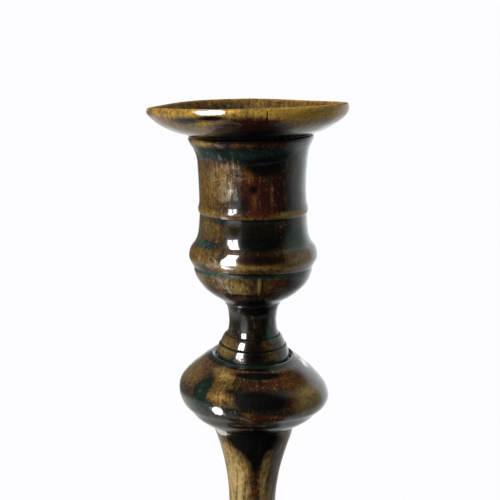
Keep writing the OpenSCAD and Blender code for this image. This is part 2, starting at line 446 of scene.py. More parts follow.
def patina(name, dark=(0.0042, 0.0038, 0.0026), brown=(0.044, 0.0225, 0.006), olive=(0.110, 0.074, 0.019),
           gold=(0.30, 0.205, 0.066), teal=(0.0040, 0.0105, 0.0092), red=(0.026, 0.0056, 0.0030),
           streak=0.42, lathe=0.12, blot=0.62, rough=(0.30, 0.40), metal=(0.05, 0.25, 0.20), shift=0.0, flecks=(1.0, 0.25)):
    """Dark lacquered patina over brass, from near black through brown and olive to rubbed metal as the 'gold' weight grows."""
    g = Graph(name)
    tc = g.t.nodes.new("ShaderNodeTexCoord")
    P = g.vec("SCALE", tc.outputs["Object"], scale=1000.0)
    P = g.vec("ADD", P, (shift, shift * 0.7, shift * 1.3))
    T = g.attr("along", True)
    big = g.noise(P, 0.20, 3.0, 0.6)
    mid = g.noise(P, 0.75, 4.0, 0.62, 0.4)
    fine = g.noise(P, 2.6, 3.0, 0.6)
    grit = g.noise(P, 9.0, 2.0, 0.6)
    Tm = g.vec("MULTIPLY", T, (1.0, 1.0, 0.13))     # long along the profile
    Tr = g.vec("MULTIPLY", T, (0.03, 0.03, 1.0))    # long round the axis
    mer = g.noise(Tm, 1.5, 3.0, 0.6, 0.3)
    ring = g.noise(Tr, 2.6, 3.0, 0.6)
    rub = g.noise(Tm, 2.6, 3.0, 0.6, 0.4)

    wgold, wteal, wred = g.attr("gold"), g.attr("teal"), g.attr("red")
    wverd, wpale = g.attr("verd"), g.attr("pale")
    w_soot_and_dark_reflection, wdull, wscr, wshine = g.attr("soot_and_dark_reflection"), g.attr("dull"), g.attr("scratch"), g.attr("shine")

    def cen(v, k):
        return g.mul(g.math("SUBTRACT", v, 0.5), k)

    raw = g.add(wgold, cen(big, 0.8 * blot), cen(mid, 1.1 * blot), cen(mer, streak), cen(ring, lathe), cen(fine, 0.80))
    scr = g.mul(g.step(g.add(rub, cen(fine, 0.3)), 0.50, 0.66), wscr)
    raw = g.add(raw, g.mul(scr, -0.42))
    br = g.step(raw, 0.02, 0.42)                            # brown film
    ol = g.step(raw, 0.30, 0.72)                            # thin film over brass
    gm = g.step(raw, 0.62, 1.05)                            # rubbed metal
    tm = g.step(g.add(wteal, cen(big, 0.6), cen(mid, 0.8), cen(fine, 0.3)), 0.20, 0.95)
    rm = g.step(g.add(wred, cen(mid, 0.9), cen(mer, 0.5), cen(big, 0.4)), 0.20, 0.90)
    sm = g.step(g.add(w_soot_and_dark_reflection, cen(mid, 0.5), cen(fine, 0.25), cen(big, 0.2)), 0.15, 0.90)

    c = g.mix(g.step(mid, 0.35, 0.7), dark, tuple(v * 2.0 for v in dark))
    c = g.mix(rm, c, red)
    warm = g.mix(rm, brown, (brown[0] * 1.3, brown[1] * 0.75, brown[2] * 0.65))
    c = g.mix(br, c, warm)
    c = g.mix(ol, c, g.mix(g.step(big, 0.40, 0.62), olive, (olive[0] * 1.15, olive[1] * 0.84, olive[2] * 0.66)))
    c = g.mix(gm, c, g.mix(g.step(mid, 0.3, 0.7), tuple(v * 0.70 for v in gold), gold))
    c = g.mix(g.mul(tm, g.math("SUBTRACT", 1.0, g.mul(gm, 0.5))), c, teal)
    vm = g.step(g.add(wverd, cen(big, 0.5), cen(mid, 0.8), cen(fine, 0.4)), 0.22, 1.0)
    c = g.mix(g.mul(vm, g.math("SUBTRACT", 1.0, g.mul(gm, 0.6))), c, g.mix(g.step(big, 0.4, 0.6), (0.014, 0.046, 0.036), (0.022, 0.050, 0.026)))
    # near black from the soot weight: real soot in cracks and hollows, and painted dark reflection where soot patches
    # stand on the fronts
    c = g.mix(sm, c, (0.0012, 0.0013, 0.0011))
    clean = g.math("SUBTRACT", 1.0, sm)
    # pale beige: a painted sheen beside the highlights on the waist, bulge and bowl, and a little pale tone inside the
    # foot
    pm = g.step(g.add(wpale, cen(mid, 1.2), cen(mer, 1.1), cen(fine, 0.7)), 0.15, 0.95)
    c = g.mix(g.mul(pm, clean, 0.9), c, (0.215, 0.175, 0.122))
    fleck = g.add(cen(g.noise(P, 1.5, 4.0, 0.7, 0.5), flecks[0]), cen(mer, flecks[1]))
    c = g.mix(g.mul(g.step(fleck, -0.03, -0.17), 0.62), c, (0.006, 0.0045, 0.003))
    c = g.mix(g.mul(g.step(fleck, 0.05, 0.20), br, 0.30, clean), c, gold)
    # shine: near-white polished metal set exactly where the lamps' highlights and bright reflections fall, a painted
    # highlight that its shiny finish partly makes real
    bright = g.step(g.add(wshine, cen(mid, 0.4), cen(fine, 0.3), cen(mer, 0.9)), 0.30, 0.75)
    c = g.mix(bright, c, (0.90, 0.87, 0.78))

    metallic = g.mul(g.add(metal[0], g.mul(ol, metal[1]), g.mul(gm, metal[2])), clean, g.math("SUBTRACT", 1.0, g.mul(tm, 0.7)))
    rgh = g.lerp(gm, g.add(rough[0], cen(mid, 0.15)), g.add(rough[1], cen(fine, 0.20)))
    rgh = g.add(rgh, g.mul(wdull, 0.35), g.mul(scr, 0.10))
    metallic = g.lerp(bright, metallic, 0.95)
    rgh = g.lerp(bright, g.math("MAXIMUM", rgh, 0.10), 0.18)
    film = g.math("SUBTRACT", 1.0, g.math("MINIMUM", 1.0, g.add(g.mul(gm, 0.55), g.mul(ol, 0.15), g.mul(wdull, 1.04), g.mul(scr, 0.35))))

    h = g.add(g.mul(mid, 0.012), g.mul(fine, 0.004), g.mul(grit, 0.0012), g.mul(ring, 0.004), g.mul(scr, -0.008), g.mul(ol, -0.004))
    bump = g.t.nodes.new("ShaderNodeBump")
    bump.inputs["Strength"].default_value = 1.0
    bump.inputs["Distance"].default_value = 0.001
    g.put(bump.inputs["Height"], h)

    p = g.t.nodes.new("ShaderNodeBsdfPrincipled")
    g.put(p.inputs["Base Color"], c)
    g.put(p.inputs["Metallic"], metallic)
    g.put(p.inputs["Roughness"], rgh)
    g.put(p.inputs["Normal"], bump.outputs["Normal"])
    p.inputs["IOR"].default_value = 1.5
    p.inputs["Specular IOR Level"].default_value = 0.05
    g.put(p.inputs["Coat Weight"], film)
    p.inputs["Coat Roughness"].default_value = 0.09
    p.inputs["Coat IOR"].default_value = 1.6
    g.link(p.outputs[0], g.out.inputs["Surface"])
    return g.mat


def plain_metal(name, base, other, rough, metallic, scale=0.8, bump=0.02, ringed=0.0, stain=None):
    """Dull old metal without the brass patina, for the parts inside and below."""
    g = Graph(name)
    tc = g.t.nodes.new("ShaderNodeTexCoord")
    P = g.vec("SCALE", tc.outputs["Object"], scale=1000.0)
    big = g.noise(P, 0.22 * scale, 3.0, 0.6)
    mid = g.noise(P, 1.1 * scale, 4.0, 0.62, 0.5)
    fine = g.noise(P, 5.0 * scale, 3.0, 0.6)
    sep = g.t.nodes.new("ShaderNodeSeparateXYZ")
    g.link(P, sep.inputs[0])
    r = g.math("SQRT", g.add(g.mul(sep.outputs[0], sep.outputs[0]), g.mul(sep.outputs[1], sep.outputs[1])))
    comb = g.t.nodes.new("ShaderNodeCombineXYZ")
    g.put(comb.inputs[0], r)
    g.put(comb.inputs[2], sep.outputs[2])
    lines = g.noise(comb.outputs[0], 4.5, 2.0, 0.5)
    f = g.step(g.add(g.mul(big, 0.5), g.mul(mid, 0.5)), 0.38, 0.62)
    c = g.mix(f, base, other)
    if stain:
        c = g.mix(g.mul(g.step(g.add(g.mul(big, 0.6), g.mul(fine, 0.4)), 0.50, 0.60), 0.8), c, stain)
    p = g.t.nodes.new("ShaderNodeBsdfPrincipled")
    g.put(p.inputs["Base Color"], c)
    g.put(p.inputs["Metallic"], g.lerp(f, metallic, metallic * 0.8))
    g.put(p.inputs["Roughness"], g.add(rough, g.mul(g.math("SUBTRACT", fine, 0.5), 0.25), g.mul(f, 0.08)))
    b = g.t.nodes.new("ShaderNodeBump")
    b.inputs["Strength"].default_value = 1.0
    b.inputs["Distance"].default_value = 0.001
    g.put(b.inputs["Height"], g.add(g.mul(mid, bump), g.mul(fine, bump * 0.6), g.mul(lines, ringed)))
    g.link(b.outputs["Normal"], p.inputs["Normal"])
    g.link(p.outputs[0], g.out.inputs["Surface"])
    return g.mat


# ---------------------------------------------------------------- the pieces

def outer(inside_r):
    """1 on the outside of a turned piece, 0 in its bores."""
    def f(P):
        return sstep(P[:, 0], inside_r, inside_r + 0.6)
    return f


# drip pan: dished, with a rounded worn rim
pan_under = join(
    straight([(11.9, 183.3), (15.55, 183.3)], 0.5),
    curve([(15.6, 183.36), (16.2, 183.65), (17.7, 184.15), (19.4, 184.8), (21.4, 185.8), (22.9, 186.75), (24.1, 187.8),
           (24.85, 188.6), (25.15, 189.15), (25.2, 189.6), (25.05, 190.05), (24.75, 190.4), (24.4, 190.5)], 0.15))
pan_inside = join(
    curve([(24.4, 190.5), (24.0, 190.3), (23.4, 189.5), (22.1, 188.1), (20.1, 186.8), (17.8, 185.85), (15.8, 185.25),
           (13.7, 185.0)], 0.2),
    straight([(13.7, 185), (11.9, 185), (11.9, 183.3)], 0.6))
pan_line = join(pan_under, pan_inside)
PAN = [
    ("gold", -58, 189.6, 24, 1.0, 0.16), ("gold", -20, 189.9, 22, 0.7, 0.20), ("gold", 30, 189.2, 34, 1.2, 0.24), ("gold", 3, 189.7, 16, 1.0, -0.12), ("gold", 26, 188.9, 12, 0.8, -0.12),
    ("gold", 60, 189.3, 22, 1.2, 0.26), ("gold", 42, 189.4, 34, 1.2, 0.60), ("verd+", 180, 188.4, 90, 3, 0.32), ("gold", -30, 186.3, 11, 0.7, 0.20), ("gold", -66, 186.8, 20, 0.9, 0.08),
    # the soot and teal under the rim's front-left are a painted dark reflection below the rim's highlight
    ("soot_and_dark_reflection", -20, 188.75, 9, 0.50, 0.9), ("dull", -27, 188.7, 14, 0.6, 1.0), ("teal", -21, 188.75, 10, 0.5, 0.6), ("gold", -21, 188.75, 9, 0.4, -0.25),
    ("teal", -38, 188.1, 11, 0.7, 0.8), ("gold", -38, 188.1, 10, 0.6, -0.25), ("gold", -27, 187.6, 8, 0.45, 0.42),
    # the dark red and soot under the pan's front are a painted dark reflection of the dark room in front
    ("red", 3, 186.4, 24, 2.5, 1.0, 3.0), ("soot_and_dark_reflection", 4, 186.2, 22, 2.3, 0.50, 3.0), ("gold", 3, 186.4, 24, 2.4, -0.85, 3.0),
    ("soot_and_dark_reflection", 4, 184.6, 34, 1.1, 0.9), ("gold", 2, 183.8, 54, 0.8, -0.9), ("dull", 2, 183.9, 40, 0.6, 0.7), ("red", -16, 185.4, 10, 1.0, 0.6), ("gold", -15, 185.6, 10, 1.2, -0.45), ("dull", 6, 185.6, 26, 2.0, 0.7), ("teal", 35, 184.4, 14, 0.7, 0.3), ("dull", 30, 187.5, 30, 1.6, 0.4),
    # the shine on the rim's front-left is a painted highlight
    ("shine", -22, 189.85, 9.6, 0.62, 1.0, 2.0), ("gold", -14, 187.9, 5, 0.5, 0.2), ("scratch", -54, 189.4, 20, 1.1, 0.9),
    ("scratch", 42, 189.2, 40, 1.3, 0.4), ("dull", 0, 190.5, 180, 0.4, 1.0), ("verd", 58, 185.6, 24, 1.2, 0.35), ("verd", -62, 185.4, 24, 1.0, 0.3),
    ("teal+", 145, 188.6, 10, 1.6, 0.45), ("dull+", 180, 188, 180, 4, 1.0), ("gold+", 110, 188.5, 18, 2, -0.15), ("gold+", 180, 188.4, 60, 3, 0.05),
]
mat_pan = patina("pan_patina", metal=(0.05, 0.14, 0.08), gold=(0.41, 0.240, 0.042), olive=(0.165, 0.100, 0.020), brown=(0.060, 0.032, 0.010),
                 streak=0.55, lathe=0.08, rough=(0.25, 0.30), shift=3.0)
turned("pan_dish", "drip_pan", "pan", pan_line, "pan", mat_pan, PAN,
       cracks=[(10.3, 187.8, 190.1, 0.17, 0.13, 1.0)], seed=3, step=0.9, fine=((10.3, 1.6, 0.15),), wave=0.05, dings=0.018,
       base=dict(gold=0.58, teal=0.12, red=0.14), skin=outer(13.4), inner_after=len(pan_under) - 1)

# tube under the pan with its turned-over edge
collar_line = join(
    straight([(11.9, 185.0), (13.2, 185.0)], 0.4),
    curve([(13.2, 185.0), (13.25, 185.25), (13.1, 185.5), (12.8, 185.6), (11.9, 185.62), (11.4, 185.58), (11.14, 185.35), (11.1, 185.0)], 0.12),
    straight([(11.1, 185.0), (11.1, 173.8), (11.9, 173.8), (11.9, 185.0)], 0.8))
mat_tube = patina("tube_patina", streak=0.3, lathe=0.4, rough=(0.35, 0.45), shift=9.0)
turned("pan_tube", "pan_collar", "pan", collar_line, "pan", mat_tube, [], seed=4, step=1.5,
       wave=0.0, dings=0.0, base=dict(gold=0.42, teal=0.2, red=0.2))

# candle socket
socket_line = join(
    straight([(12.0, 173.5), (12.0, 183.3)], 0.9),
    straight([(12.0, 183.3), (15.35, 183.3)], 0.4),
    curve([(15.4, 183.29), (15.56, 183.16), (15.62, 182.9), (15.52, 182.4), (15.1, 181.5), (14.5, 180.4), (14.1, 179.2),
           (13.75, 177.5), (13.51, 174.5), (13.37, 171.5), (13.34, 169.0), (13.37, 167.5), (13.44, 166.75), (13.56, 166.2),
           (13.68, 165.7), (13.74, 165.2), (13.68, 164.7), (13.50, 164.15)], 0.19),
    curve([(13.38, 163.95), (13.40, 163.5), (13.46, 162.5), (13.52, 161.5), (13.62, 160.3), (13.80, 159.0), (14.11, 157.9), (14.58, 156.9),
           (15.12, 156.2), (15.50, 155.6), (15.80, 154.9), (15.97, 154.2), (16.03, 153.5), (15.98, 152.9), (15.77, 152.35), (15.3, 151.5), (15.05, 151.0)], 0.19),
    curve([(14.83, 150.85), (14.72, 150.6), (14.76, 150.2), (14.68, 149.5), (14.3, 148.3), (13.7, 147.1), (12.8, 145.9), (11.5, 144.6), (9.92, 143.4),
           (8.35, 142.45), (7.25, 141.7), (6.85, 141.0)], 0.19),
    straight([(6.85, 141.0), (4.0, 141.0), (4.0, 145.9), (10.6, 145.9), (10.6, 147.5), (11.1, 147.5), (11.1, 173.5), (12.0, 173.5)], 0.9))
SOCKET = [
    # lip and teal band
    # the soot at the front of the lip is a painted dark reflection
    ("soot_and_dark_reflection", 14, 182.6, 28, 0.9, 0.50), ("gold", -30, 182.0, 12, 0.8, -0.15), ("gold", 12, 183.15, 60, 0.5, -0.9, 3.0), ("dull", 0, 183.1, 50, 0.6, 1.0), ("red", 6, 182.6, 46, 0.8, 0.4), ("gold", -56, 182.5, 20, 1.1, 0.50), ("red", -30, 181.8, 24, 0.6, 0.3),
    ("teal", 0, 179.7, 170, 1.8, 0.62), ("gold", 0, 179.7, 170, 1.8, -0.30), ("teal", 55, 180.5, 16, 2.4, 0.4),
    ("dull", -26, 180.7, 17, 2.4, 0.9), ("verd", -14, 180.2, 14, 1.2, 0.30), ("teal", -14, 180.2, 14, 1.2, 0.3), ("dull", 30, 180.0, 14, 2.2, 0.5), ("dull", -54, 180.5, 12, 2.2, 0.5), ("gold", -52, 182.4, 22, 0.9, 0.35), ("verd", 62, 181.0, 24, 2.4, 0.75), ("verd", -60, 180.0, 26, 1.4, 0.60),
    # waist
    ("gold", -62, 172.0, 30, 9.0, 0.36, 2.0), ("red", -50, 171.5, 26, 7.5, 0.26, 2.0), ("dull", -50, 168, 24, 4, 0.3), ("gold", -25, 173.5, 11, 5.5, 0.32, 2.0), ("soot_and_dark_reflection", -50, 177.2, 16, 1.3, 0.4), ("red", -40, 177.4, 18, 1.4, 0.5), ("soot_and_dark_reflection", -44, 167.6, 18, 1.1, 0.35), ("gold", -40, 170.5, 12, 6.0, 0.18),
    # the shine and pale patches on the waist and ring are a painted highlight and painted sheen
    ("scratch", -24, 173, 11, 6, 0.7), ("dull", -24, 173, 16, 6.6, 0.75, 2.0), ("shine", -23, 165.4, 6.5, 0.6, 0.55), ("gold", -3, 174.9, 6, 1.9, 0.36), ("red", -3, 174.6, 7, 2, 0.3),
    ("shine", -22, 174.6, 6.5, 3.4, 0.33), ("shine", -23, 170.0, 7.0, 1.8, 0.28), ("pale", -24, 174.6, 14, 4.6, 0.42), ("pale", -27, 169.8, 13, 2.6, 0.36), ("pale", -44, 173, 14, 5.0, 0.20), ("soot_and_dark_reflection", -20, 168.2, 12, 0.9, 0.5),
    ("gold", 2, 168.4, 3.4, 2.2, 0.46), ("red", 2, 168.4, 5, 2.6, 0.4), ("gold", 20, 170.2, 2.2, 4.6, 0.44), ("gold", 46, 175, 5, 5, 0.12),
    ("red", 13, 171, 26, 7.0, 0.55, 2.0), ("red", -6, 173, 9, 4, 0.35), ("soot_and_dark_reflection", 1, 171.6, 5, 1.1, 0.9), ("soot_and_dark_reflection", -15.5, 174.9, 3, 0.5, 0.9),
    # the soot across the front of the waist is a painted dark reflection of the dark room in front
    ("dull", -60, 171, 26, 10, 0.5, 2.0), ("soot_and_dark_reflection", 12, 177.2, 24, 2.6, 0.9, 2.0), ("soot_and_dark_reflection", 32, 170, 6, 5, 0.45), ("soot_and_dark_reflection", 12, 172, 5, 4, 0.3),
    ("gold", 12, 171.5, 28, 8.0, -0.14), ("verd", 58, 172, 16, 8, 0.40), ("gold", 52, 174, 7, 6, 0.16), ("verd", -34, 168, 10, 1.6, 0.2),
    # ring
    ("gold", -50, 165.0, 38, 0.9, 0.24), ("gold", -12, 164.3, 40, 0.35, 0.35), ("gold", 50, 164.9, 28, 0.9, 1.1),
    ("red", 5, 165.6, 26, 0.9, 0.35), ("teal", 0, 163.2, 85, 0.45, 0.50), ("soot_and_dark_reflection", 0, 163.75, 90, 0.22, 0.55),
    # flare
    ("dull", -20, 161.4, 12, 1.9, 1.0, 2.0), ("gold", -58, 160.8, 22, 3.0, 0.30), ("red", -45, 160.5, 14, 2.5, 0.35), ("teal", -52, 157.4, 15, 1.0, 0.75),
    ("gold", -54, 157.4, 15, 1.0, -0.2), ("verd", -58, 157.5, 18, 1.2, 0.45), ("teal", -4, 157.6, 22, 0.8, 0.55), ("teal", 52, 158.4, 22, 2.6, 0.65),
    # the soot across the front of the flare is a painted dark reflection
    ("verd", 56, 158.8, 24, 3.6, 0.95), ("dull", 52, 159, 14, 3, 0.3), ("gold", 46, 160, 20, 2, -0.15), ("soot_and_dark_reflection", 6, 160.6, 34, 3.2, 0.75, 2.0), ("soot_and_dark_reflection", 8, 157.6, 26, 1.6, 0.7),
    # bulge
    # the shine on the bulge is a painted highlight, its pale patches are painted sheen, and its front soot is a painted
    # dark reflection
    ("shine", -22.8, 153.55, 8.7, 1.62, 1.0, 2.0), ("pale", -36, 153.0, 16, 1.7, 0.52), ("pale", 52, 154.2, 22, 1.8, 0.42), ("soot_and_dark_reflection", 11, 154.6, 28, 1.6, 0.80), ("dull", -60, 154, 26, 3, 0.45),
    ("gold", -64, 154.1, 26, 2.3, 0.42), ("gold", -22, 152.8, 18, 1.5, 0.50), ("gold", -18, 152.3, 22, 1.3, 0.35),
    ("scratch", -58, 154.5, 28, 2.4, 0.7), ("scratch", -14, 152.4, 40, 0.8, 0.5), ("red", 14, 154.3, 32, 1.8, 0.80), ("gold", 8, 152.7, 18, 0.6, 0.34),
    ("gold", 30, 152.2, 18, 0.5, 0.34), ("gold", 52, 154.0, 20, 2.0, 0.62), ("gold", 38, 151.35, 20, 0.3, 0.3),
    ("teal", 0, 150.45, 180, 0.55, 0.75), ("gold", 0, 150.5, 180, 0.45, -0.45), ("soot_and_dark_reflection", 6, 150.7, 34, 0.25, 0.55),
    ("verd", -52, 150.3, 34, 0.7, 1.2), ("gold", -52, 150.3, 34, 0.6, 0.5), ("verd", 55, 150.3, 34, 0.6, 1.0),
    # bowl
    ("gold", -62, 147.8, 24, 3.0, 0.24), ("gold", -18, 146.9, 17, 2.6, 0.85), ("scratch", -20, 146.8, 20, 2.2, 1.0),
    # the shine and pale patches on the bowl are a painted highlight and painted sheen
    ("gold", 6.0, 147.6, 2.1, 2.6, 0.85), ("gold", 16, 147.6, 6, 1.6, 0.20), ("red", 28, 147, 24, 2.5, 0.80), ("gold", 36, 146.6, 16, 2.4, -0.10), ("shine", -26, 147.1, 10, 2.2, 0.36), ("pale", -32, 147.5, 16, 2.5, 0.50),
    ("dull", -42, 147.6, 24, 3.2, 0.7), ("dull", -14, 146.8, 16, 2.6, 0.9), ("dull", 34, 147.0, 22, 3.0, 0.8), ("red", -24, 144.2, 16, 0.6, 0.85),
    # the soot under the bowl's front is a painted dark reflection
    ("soot_and_dark_reflection", 6, 142.9, 60, 1.0, 0.75), ("soot_and_dark_reflection", 0, 141.4, 180, 0.7, 0.5),
]
mat_socket = patina("socket_patina", shift=0.0)
turned("vase_socket", "candle_socket", "stand", socket_line, "socket", mat_socket, SOCKET,
       cracks=[(9.4, 145.0, 149.8, 0.15, 0.09, 1.0)], seed=5, step=1.32, fine=((9.2, 1.6, 0.25),),
       base=dict(gold=0.20, teal=0.14, red=0.16), skin=outer(12.1), edge=0.8)

# neck and its stack of three rings
neck_line = join(
    straight([(2.1, 145.5), (4.0, 145.5), (4.0, 141.0)], 1.2),
    straight([(4.0, 141.0), (6.7, 141.0)], 0.5),
    curve([(6.7, 141.0), (6.4, 140.2), (6.15, 139.0), (6.0, 137.6), (5.97, 136.4), (6.03, 135.4), (6.16, 134.6), (6.38, 133.95), (6.60, 133.55)], 0.10),
    curve([(6.64, 133.42), (6.78, 133.33), (7.02, 133.18), (7.33, 132.8), (7.61, 132.3), (7.86, 131.75), (8.02, 131.3), (8.05, 131.08)], 0.10),
    curve([(8.02, 130.96), (8.2, 130.87), (8.44, 130.72), (8.65, 130.3), (8.83, 129.7), (8.97, 129.1), (9.08, 128.5), (9.1, 128.0), (9.0, 127.4)], 0.10),
    straight([(8.9, 127.2), (8.6, 126.0), (4.5, 126.0), (4.5, 118.6), (2.1, 118.6), (2.1, 145.5)], 1.0))
NECK = [
    # the soot on the neck's top and down the front of the rings is a painted dark reflection; the soot in the two
    # grooves below is dirt
    ("soot_and_dark_reflection", 6, 140.2, 62, 1.2, 0.95), ("dull", 2, 140.6, 60, 1.1, 1.0), ("gold", -58, 130.8, 28, 2.8, 0.56), ("gold", 40, 131.8, 16, 0.6, 0.30),
    ("gold", 38, 129.7, 15, 0.7, 0.32), ("gold", 22, 132.6, 8, 0.6, 0.18), ("red", 6, 131.0, 22, 2.8, 0.40), ("soot_and_dark_reflection", 4, 131.4, 22, 2.8, 0.75), ("dull", -22, 138.0, 14, 1.9, 0.55), ("soot_and_dark_reflection", 10, 128.8, 30, 1.6, 0.4),
    ("soot_and_dark_reflection", 14, 134.4, 14, 1.6, 0.5), ("teal", 50, 134.0, 22, 1.6, 0.6), ("verd", 54, 134.4, 24, 1.8, 0.8), ("verd", 62, 130.0, 20, 2.0, 0.5),
    ("dull", 0, 133.43, 180, 0.20, 1.0), ("soot_and_dark_reflection", 0, 133.43, 180, 0.14, 0.3),
    ("dull", 0, 130.97, 180, 0.20, 1.0), ("teal", 0, 130.97, 180, 0.26, 0.9), ("soot_and_dark_reflection", 0, 130.97, 180, 0.12, 0.3),
    ("teal", 0, 127.9, 180, 0.75, 0.95), ("gold", 0, 127.9, 180, 0.75, -0.45), ("red", 14, 136.8, 16, 1.5, 0.35),
    ("gold", 0, 137.4, 60, 3.0, -0.14), ("soot_and_dark_reflection", 16, 137.6, 22, 2.4, 0.35),
]
mat_neck = patina("neck_patina", streak=0.2, lathe=0.25, shift=5.0, rough=(0.25, 0.34))
turned("neck_rings", "ringed_neck", "stand", neck_line, "lower", mat_neck, NECK,
       cracks=[(22, 135.0, 137.2, 0.08, 0.03, 0.45)], seed=6, step=1.2, fine=((22, 2, 0.5),), edge=0.7,
       base=dict(gold=0.16, teal=0.12, red=0.16), skin=outer(4.6), wave=0.03, dings=0.010)

# knop
knop_line = join(
    straight([(4.5, 127.4), (9.1, 127.4)], 0.8),
    curve([(9.1, 127.4), (9.5, 127.85), (9.9, 128.15), (10.3, 128.22), (11.0, 127.65), (12.3, 126.75), (13.9, 125.35), (15.7, 124.0), (17.65, 122.0),
           (18.5, 120.5), (18.85, 118.6), (18.55, 116.9), (17.65, 115.2), (16.2, 113.8), (14.5, 112.1), (12.9, 111.0), (11.6, 110.25),
           (10.3, 110.0)], 0.17),
    straight([(10.3, 110.0), (4.5, 110.0), (4.5, 127.4)], 1.0))
KNOP = [
    # gold patch left of the front, its scratches, and the green beside it
    ("gold", -29, 123.2, 14, 3.8, 0.43, 2.0), ("gold", -27, 119.7, 12, 1.8, 0.42), ("gold", -38, 125.9, 17, 1.2, 0.42),
    # the shine below the gold patch is a painted highlight
    ("scratch", -28, 122.4, 19, 4.8, 1.0), ("dull", -26, 122.4, 20, 5.2, 1.0, 2.0), ("shine", -29, 116.95, 5.2, 1.05, 1.0, 2.0),
    ("soot_and_dark_reflection", -19, 122.7, 6, 0.9, 0.7), ("teal", -45, 121.8, 8, 3.4, 1.0), ("dull", -45, 121.8, 11, 3.6, 1.0),
    ("gold", -45, 121.8, 8, 3.4, -0.35), ("teal", -42, 117.5, 13, 1.6, 1.1), ("gold", -42, 117.4, 12, 1.5, -0.3), ("teal", -16, 116.2, 8, 1.1, 0.95),
    ("gold", -80, 123.8, 24, 3.2, 0.50), ("red", -72, 125.0, 20, 1.6, 0.7), ("teal", -66, 118.5, 16, 2.0, 0.35), ("gold", -29, 117.2, 5, 0.6, 0.25),
    # right side
    ("gold", 40, 125.4, 15, 1.4, 0.12), ("gold", 46, 118.0, 17, 2.3, 0.68), ("gold", 52, 121.4, 17, 2.6, 0.80),
    # the shine at the right edge is a painted reflection of the bright surroundings
    ("red", 38, 125.0, 17, 1.9, 1.1), ("shine", 90, 126.3, 13, 1.3, 0.62), ("dull", 40, 125.2, 18, 1.6, 1.0), ("teal", 26, 122.6, 7, 1.6, 0.35), ("dull", 42, 124.4, 20, 2.8, 0.9), ("dull", 46, 119, 20, 2.4, 0.4),
    # centre
    # the soot in the centre, at the top front and at the bottom front is a painted dark reflection of the dark room in
    # front
    ("soot_and_dark_reflection", 7, 120.5, 23, 3.0, 0.95, 2.0), ("dull", 6, 120.8, 26, 3.4, 0.8, 2.0), ("red", 0, 124.4, 22, 1.1, 0.40), ("soot_and_dark_reflection", 6, 126.5, 28, 0.62, 1.4), ("dull", 6, 126.5, 28, 0.7, 1.0),
    ("gold", 0, 127.3, 26, 0.35, 0.12), ("red", 6, 116.0, 24, 0.9, 0.90), ("gold", -7, 116.6, 7, 0.8, 0.40), ("gold", 20, 116.2, 9, 0.5, 0.25), ("dull", 0, 125.0, 34, 1.6, 0.8),
    ("gold", 0, 119, 30, 4, -0.12), ("soot_and_dark_reflection", 5, 112.0, 60, 1.3, 1.0), ("verd", 44, 114.3, 24, 0.8, 0.5), ("verd", -52, 116.4, 22, 1.6, 0.6), ("verd", -48, 121.6, 8, 3.0, 0.35), ("verd", 74, 126.0, 18, 1.2, 0.4), ("gold", -16, 113.1, 5, 0.35, 0.55), ("gold", 7, 113.3, 3.5, 0.3, 0.55),
    ("dull", -4, 113.2, 18, 1.2, 0.9), ("soot_and_dark_reflection", 0, 110.5, 180, 0.8, 1.0), ("gold", 0, 110.2, 180, 0.7, -0.7), ("soot_and_dark_reflection", 8, 114.9, 26, 0.6, 0.5),
    ("teal", 0, 128.0, 180, 0.55, 1.0), ("gold", 0, 128.05, 180, 0.5, -0.9), ("soot_and_dark_reflection", 0, 127.6, 180, 0.3, 0.8),
]
mat_knop = patina("knop_patina", streak=0.4, lathe=0.08, shift=12.0, rough=(0.30, 0.48), teal=(0.0042, 0.0105, 0.0062))
turned("bulb_knop", "knop", "stand", knop_line, "lower", mat_knop, KNOP,
       cracks=[(6, 125.6, 127.4, 0.09, 0.03, 0.4)], seed=7, step=0.9, fine=((6, 1.6, 0.3),),
       base=dict(gold=0.20, teal=0.12, red=0.2), skin=outer(4.6), wave=0.05, dings=0.016)

# stem
thread = []
pitch, thn = 1.2, int(math.floor((35 - 28.8) / 1.2))
for i in range(thn - 1, -1, -1):
    thread += [(5.0 - 0.45, 28.8 + (i + 1) * pitch), (5.0, 28.8 + (i + 0.5) * pitch)]
thread.append((5.0 - 0.45, 28.8))
stem_line = join(
    straight([(2.6, 118.0), (4.5, 118.0), (4.5, 110.0)], 1.5),
    straight([(4.5, 110.0), (10.25, 110.0)], 0.9),
    curve([(10.25, 110.0), (10.0, 109.2), (9.5, 107.4), (8.85, 105.6), (8.15, 103.4), (7.45, 100.8), (6.87, 98.4), (6.38, 95.4), (6.0, 92.0),
           (5.75, 87.0), (5.65, 81.0), (5.75, 75.0), (6.1, 69.0), (6.7, 63.6), (7.5, 59.6), (8.2, 57.0)], 0.24),
    straight([(8.2, 57.0), (5.0, 57.0), (5.0, 28.8 + thn * pitch + pitch / 2)], 1.5),
    straight(thread, 0.3),
    straight([(4.55, 28.8), (3.2, 28.8), (3.2, 38.8), (2.6, 38.8), (2.6, 118.0)], 2.0))
